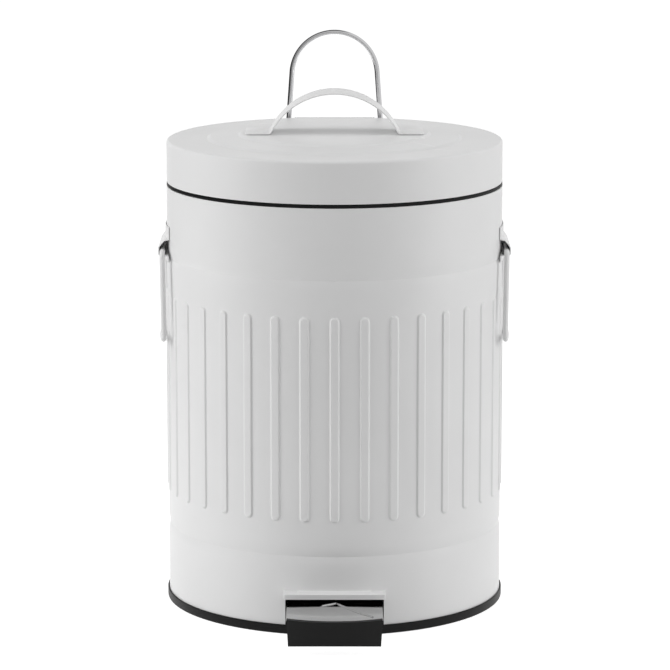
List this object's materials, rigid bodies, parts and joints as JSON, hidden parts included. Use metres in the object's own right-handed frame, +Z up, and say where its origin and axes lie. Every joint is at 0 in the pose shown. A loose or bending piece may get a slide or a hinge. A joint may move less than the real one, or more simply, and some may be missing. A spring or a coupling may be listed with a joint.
{
  "type": "pedal bin",
  "caption": "Round ribbed steel pedal bin with a hinged lid, strap handle, inner bucket, carry bail and drop handles on its sides.",
  "frame": {"origin": "on the floor, at the axis of the round shell", "axes": "+Z up, -Y towards the pedal at the front, +Y towards the lid hinge, +X to the right seen from the front"},
  "size_m": [0.214, 0.266, 0.3396],
  "materials": {
    "white_paint": "satin powder coat",
    "black_plastic": "moulded, fine grain",
    "polished_steel": "bright polished sheet",
    "zinc_steel": "zinc plated",
    "chrome": "bright chrome plated wire"
  },
  "bodies": {
    "can": {"base_tray": "black_plastic", "outer_shell": "white_paint", "rim_ring": "black_plastic", "inner_bucket": "black_plastic", "hinge_bracket": "white_paint", "bracket_rivet_lower_left": "white_paint", "bracket_rivet_upper_left": "white_paint", "bracket_rivet_lower_right": "white_paint", "bracket_rivet_upper_right": "white_paint", "hinge_pin": "zinc_steel", "ear_bracket_right": "white_paint", "ear_bracket_left": "white_paint", "pedal_bracket": "zinc_steel", "pedal_bracket_screw_left": "zinc_steel", "pedal_bracket_screw_right": "zinc_steel", "pedal_axle": "zinc_steel"},
    "lid": {"lid": "white_paint", "lid_strap_handle": "white_paint", "lid_hinge_leaf": "white_paint", "leaf_rivet_left": "white_paint", "leaf_rivet_right": "white_paint"},
    "push_rod": {"push_rod": "zinc_steel", "rod_clip_lower": "zinc_steel", "rod_clip_upper": "zinc_steel"},
    "pedal": {"pedal_lever": "polished_steel", "pedal_pad": "black_plastic"},
    "carry_handle": {"carry_handle": "chrome"},
    "side_handle_right": {"ear_handle_right": "white_paint"},
    "side_handle_left": {"ear_handle_left": "white_paint"},
    "bucket_bail": {"bucket_bail": "zinc_steel"}
  },
  "joints": [
    {"name": "lid_hinge", "type": "hinge", "parent": "can", "child": "lid", "pos_m": [0, 0.1057, 0.2812], "axis": [-1, 0, 0], "range_deg": [0, 75]},
    {"name": "push_rod_lift", "type": "slide", "parent": "can", "child": "push_rod", "axis": [0, 0, 1], "range_m": [0, 0.01073]},
    {"name": "pedal_press", "type": "hinge", "parent": "can", "child": "pedal", "pos_m": [0, -0.088, 0.014], "axis": [1, 0, 0], "range_deg": [0, 3.31]},
    {"name": "carry_handle_fold", "type": "hinge", "parent": "can", "child": "carry_handle", "pos_m": [0, 0.111, 0.262], "axis": [-1, 0, 0], "range_deg": [0, 180]},
    {"name": "side_handle_right_swing", "type": "hinge", "parent": "can", "child": "side_handle_right", "pos_m": [0.10445, 0, 0.2186], "axis": [0, -1, 0], "range_deg": [0, 100]},
    {"name": "side_handle_left_swing", "type": "hinge", "parent": "can", "child": "side_handle_left", "pos_m": [-0.10445, 0, 0.2186], "axis": [0, 1, 0], "range_deg": [0, 100]},
    {"name": "bucket_bail_swing", "type": "hinge", "parent": "can", "child": "bucket_bail", "pos_m": [0, 0, 0.2627], "axis": [-1, 0, 0], "range_deg": [0, 10]}
  ],
  "couplings": [
    {"joint": "push_rod_lift", "follows": "lid_hinge", "m_per_rad": 0.0081946},
    {"joint": "pedal_press", "follows": "lid_hinge", "ratio": 0.044105}
  ]
}
